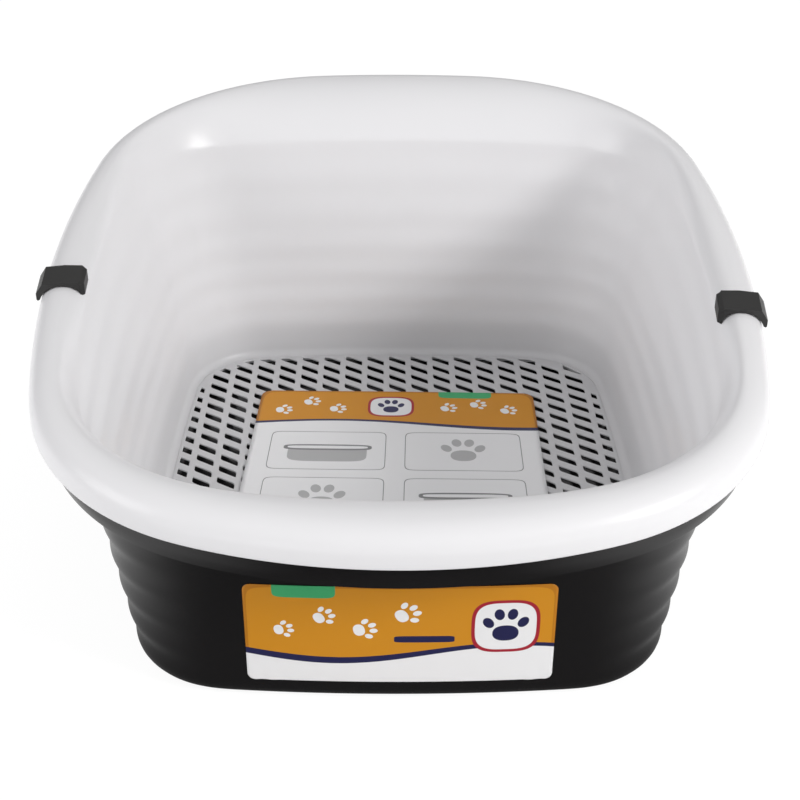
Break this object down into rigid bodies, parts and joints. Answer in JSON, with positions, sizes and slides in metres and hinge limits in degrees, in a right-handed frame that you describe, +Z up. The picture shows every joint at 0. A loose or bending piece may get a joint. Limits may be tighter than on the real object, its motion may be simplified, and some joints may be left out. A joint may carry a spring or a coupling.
{
  "type": "sifting litter box",
  "caption": "Sifting litter box: white slotted sifting tray nested in two black pans with a raised back, two rim clips, a front label and a printed insert card",
  "frame": {"origin": "on the ground under the middle of the rim", "axes": "+Y towards the raised back, +Z up, +X to the right seen from the low front"},
  "size_m": [0.3869, 0.4799, 0.199],
  "materials": {
    "black_gloss": "glossy moulded black polypropylene",
    "pearl_white": "smooth pearl white polypropylene",
    "black_satin": "satin black moulded plastic",
    "label_print": "coated label with an orange and white print",
    "card_print": "coated card with an orange and white print"
  },
  "bodies": {
    "outer_pan": {"outer_pan": "black_gloss", "front_label": "label_print"},
    "inner_pan": {"inner_pan": "black_gloss"},
    "sifting_tray": {"sifting_tray": "pearl_white", "sifting_grille": "pearl_white"},
    "left_clip": {"left_clip": "black_satin"},
    "right_clip": {"right_clip": "black_satin"},
    "insert_card": {"insert_card": "card_print"}
  },
  "joints": [
    {"name": "inner_pan_lift", "type": "slide", "parent": "outer_pan", "child": "inner_pan", "axis": [0, 0, 1], "range_m": [0, 0.22]},
    {"name": "tray_lift", "type": "slide", "parent": "inner_pan", "child": "sifting_tray", "axis": [0, 0, 1], "range_m": [0, 0.22]},
    {"name": "left_clip_pull", "type": "slide", "parent": "sifting_tray", "child": "left_clip", "axis": [0, 0, 1], "range_m": [0, 0.04]},
    {"name": "right_clip_pull", "type": "slide", "parent": "sifting_tray", "child": "right_clip", "axis": [0, 0, 1], "range_m": [0, 0.04]},
    {"name": "card_lift", "type": "slide", "parent": "sifting_tray", "child": "insert_card", "axis": [0, 0, 1], "range_m": [0, 0.22]}
  ]
}
